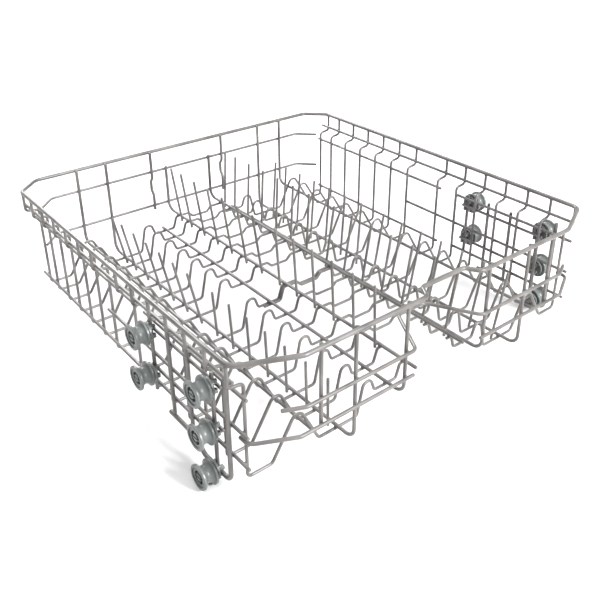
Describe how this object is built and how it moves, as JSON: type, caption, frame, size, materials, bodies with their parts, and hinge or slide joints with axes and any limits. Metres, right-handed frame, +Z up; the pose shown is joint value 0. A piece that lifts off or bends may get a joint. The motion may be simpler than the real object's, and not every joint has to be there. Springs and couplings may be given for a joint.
{
  "type": "dishwasher basket",
  "caption": "Upper dishwasher rack of welded coated wire with rows of plate tines, a notched end and spool rollers on both sides that run on slide rails.",
  "frame": {"origin": "On the ground plane of the lowest rollers, below the centre of the rim.", "axes": "+X to the right, +Y to the plain end, -Y to the notched end, +Z up."},
  "size_m": [0.5268, 0.526, 0.1635],
  "materials": {
    "coated_wire": "satin light grey nylon coating on steel wire",
    "roller_plastic": "smooth pale grey-green moulded plastic",
    "clip_plastic": "smooth grey moulded plastic"
  },
  "bodies": {
    "basket": {"axle_clips_left": "clip_plastic", "axle_clips_right": "clip_plastic", "back_posts": "coated_wire", "centre_support": "coated_wire", "front_posts": "coated_wire", "gutter_wire_left": "coated_wire", "gutter_wire_right": "coated_wire", "hoop_01": "coated_wire", "hoop_02": "coated_wire", "hoop_03": "coated_wire", "hoop_04": "coated_wire", "hoop_05": "coated_wire", "hoop_06": "coated_wire", "hoop_07": "coated_wire", "hoop_08": "coated_wire", "hoop_09": "coated_wire", "hoop_10": "coated_wire", "hoop_11": "coated_wire", "hoop_12": "coated_wire", "hoop_13": "coated_wire", "hoop_14": "coated_wire", "inner_row_wire_left": "coated_wire", "inner_row_wire_right": "coated_wire", "inner_tines_left": "coated_wire", "inner_tines_right": "coated_wire", "low_front_wire_left": "coated_wire", "low_front_wire_right": "coated_wire", "lower_back_wire": "coated_wire", "notch_wire": "coated_wire", "outer_row_wire_left": "coated_wire", "outer_row_wire_right": "coated_wire", "outer_tines_left": "coated_wire", "outer_tines_right": "coated_wire", "rim_wire": "coated_wire", "roller_bracket_left": "coated_wire", "roller_bracket_right": "coated_wire", "roller_posts_left": "coated_wire", "roller_posts_right": "coated_wire", "roller_rails_left": "coated_wire", "roller_rails_right": "coated_wire", "shelf_wire_left": "coated_wire", "shelf_wire_right": "coated_wire", "side_wires_left": "coated_wire", "side_wires_right": "coated_wire", "under_rim_wire_left": "coated_wire", "under_rim_wire_right": "coated_wire", "upper_back_wire": "coated_wire"},
    "roller_front_low_left": {"roller_front_low_left": "roller_plastic"},
    "roller_front_low_right": {"roller_front_low_right": "roller_plastic"},
    "roller_front_middle_left": {"roller_front_middle_left": "roller_plastic"},
    "roller_front_middle_right": {"roller_front_middle_right": "roller_plastic"},
    "roller_front_upper_left": {"roller_front_upper_left": "roller_plastic"},
    "roller_front_upper_right": {"roller_front_upper_right": "roller_plastic"},
    "roller_rear_middle_left": {"roller_rear_middle_left": "roller_plastic"},
    "roller_rear_middle_right": {"roller_rear_middle_right": "roller_plastic"},
    "roller_rear_upper_left": {"roller_rear_upper_left": "roller_plastic"},
    "roller_rear_upper_right": {"roller_rear_upper_right": "roller_plastic"}
  },
  "joints": [
    {"name": "roller_front_low_left_spin", "type": "hinge", "parent": "basket", "child": "roller_front_low_left", "pos_m": [-0.2557, -0.189, 0.0135], "axis": [1, 0, 0], "continuous": true},
    {"name": "roller_front_low_right_spin", "type": "hinge", "parent": "basket", "child": "roller_front_low_right", "pos_m": [0.2557, -0.189, 0.0135], "axis": [1, 0, 0], "continuous": true},
    {"name": "roller_front_middle_left_spin", "type": "hinge", "parent": "basket", "child": "roller_front_middle_left", "pos_m": [-0.2557, -0.189, 0.062], "axis": [1, 0, 0], "continuous": true},
    {"name": "roller_front_middle_right_spin", "type": "hinge", "parent": "basket", "child": "roller_front_middle_right", "pos_m": [0.2557, -0.189, 0.062], "axis": [1, 0, 0], "continuous": true},
    {"name": "roller_front_upper_left_spin", "type": "hinge", "parent": "basket", "child": "roller_front_upper_left", "pos_m": [-0.2557, -0.189, 0.1115], "axis": [1, 0, 0], "continuous": true},
    {"name": "roller_front_upper_right_spin", "type": "hinge", "parent": "basket", "child": "roller_front_upper_right", "pos_m": [0.2557, -0.189, 0.1115], "axis": [1, 0, 0], "continuous": true},
    {"name": "roller_rear_middle_left_spin", "type": "hinge", "parent": "basket", "child": "roller_rear_middle_left", "pos_m": [-0.2557, -0.075, 0.062], "axis": [1, 0, 0], "continuous": true},
    {"name": "roller_rear_middle_right_spin", "type": "hinge", "parent": "basket", "child": "roller_rear_middle_right", "pos_m": [0.2557, -0.075, 0.062], "axis": [1, 0, 0], "continuous": true},
    {"name": "roller_rear_upper_left_spin", "type": "hinge", "parent": "basket", "child": "roller_rear_upper_left", "pos_m": [-0.2557, -0.075, 0.1115], "axis": [1, 0, 0], "continuous": true},
    {"name": "roller_rear_upper_right_spin", "type": "hinge", "parent": "basket", "child": "roller_rear_upper_right", "pos_m": [0.2557, -0.075, 0.1115], "axis": [1, 0, 0], "continuous": true}
  ]
}
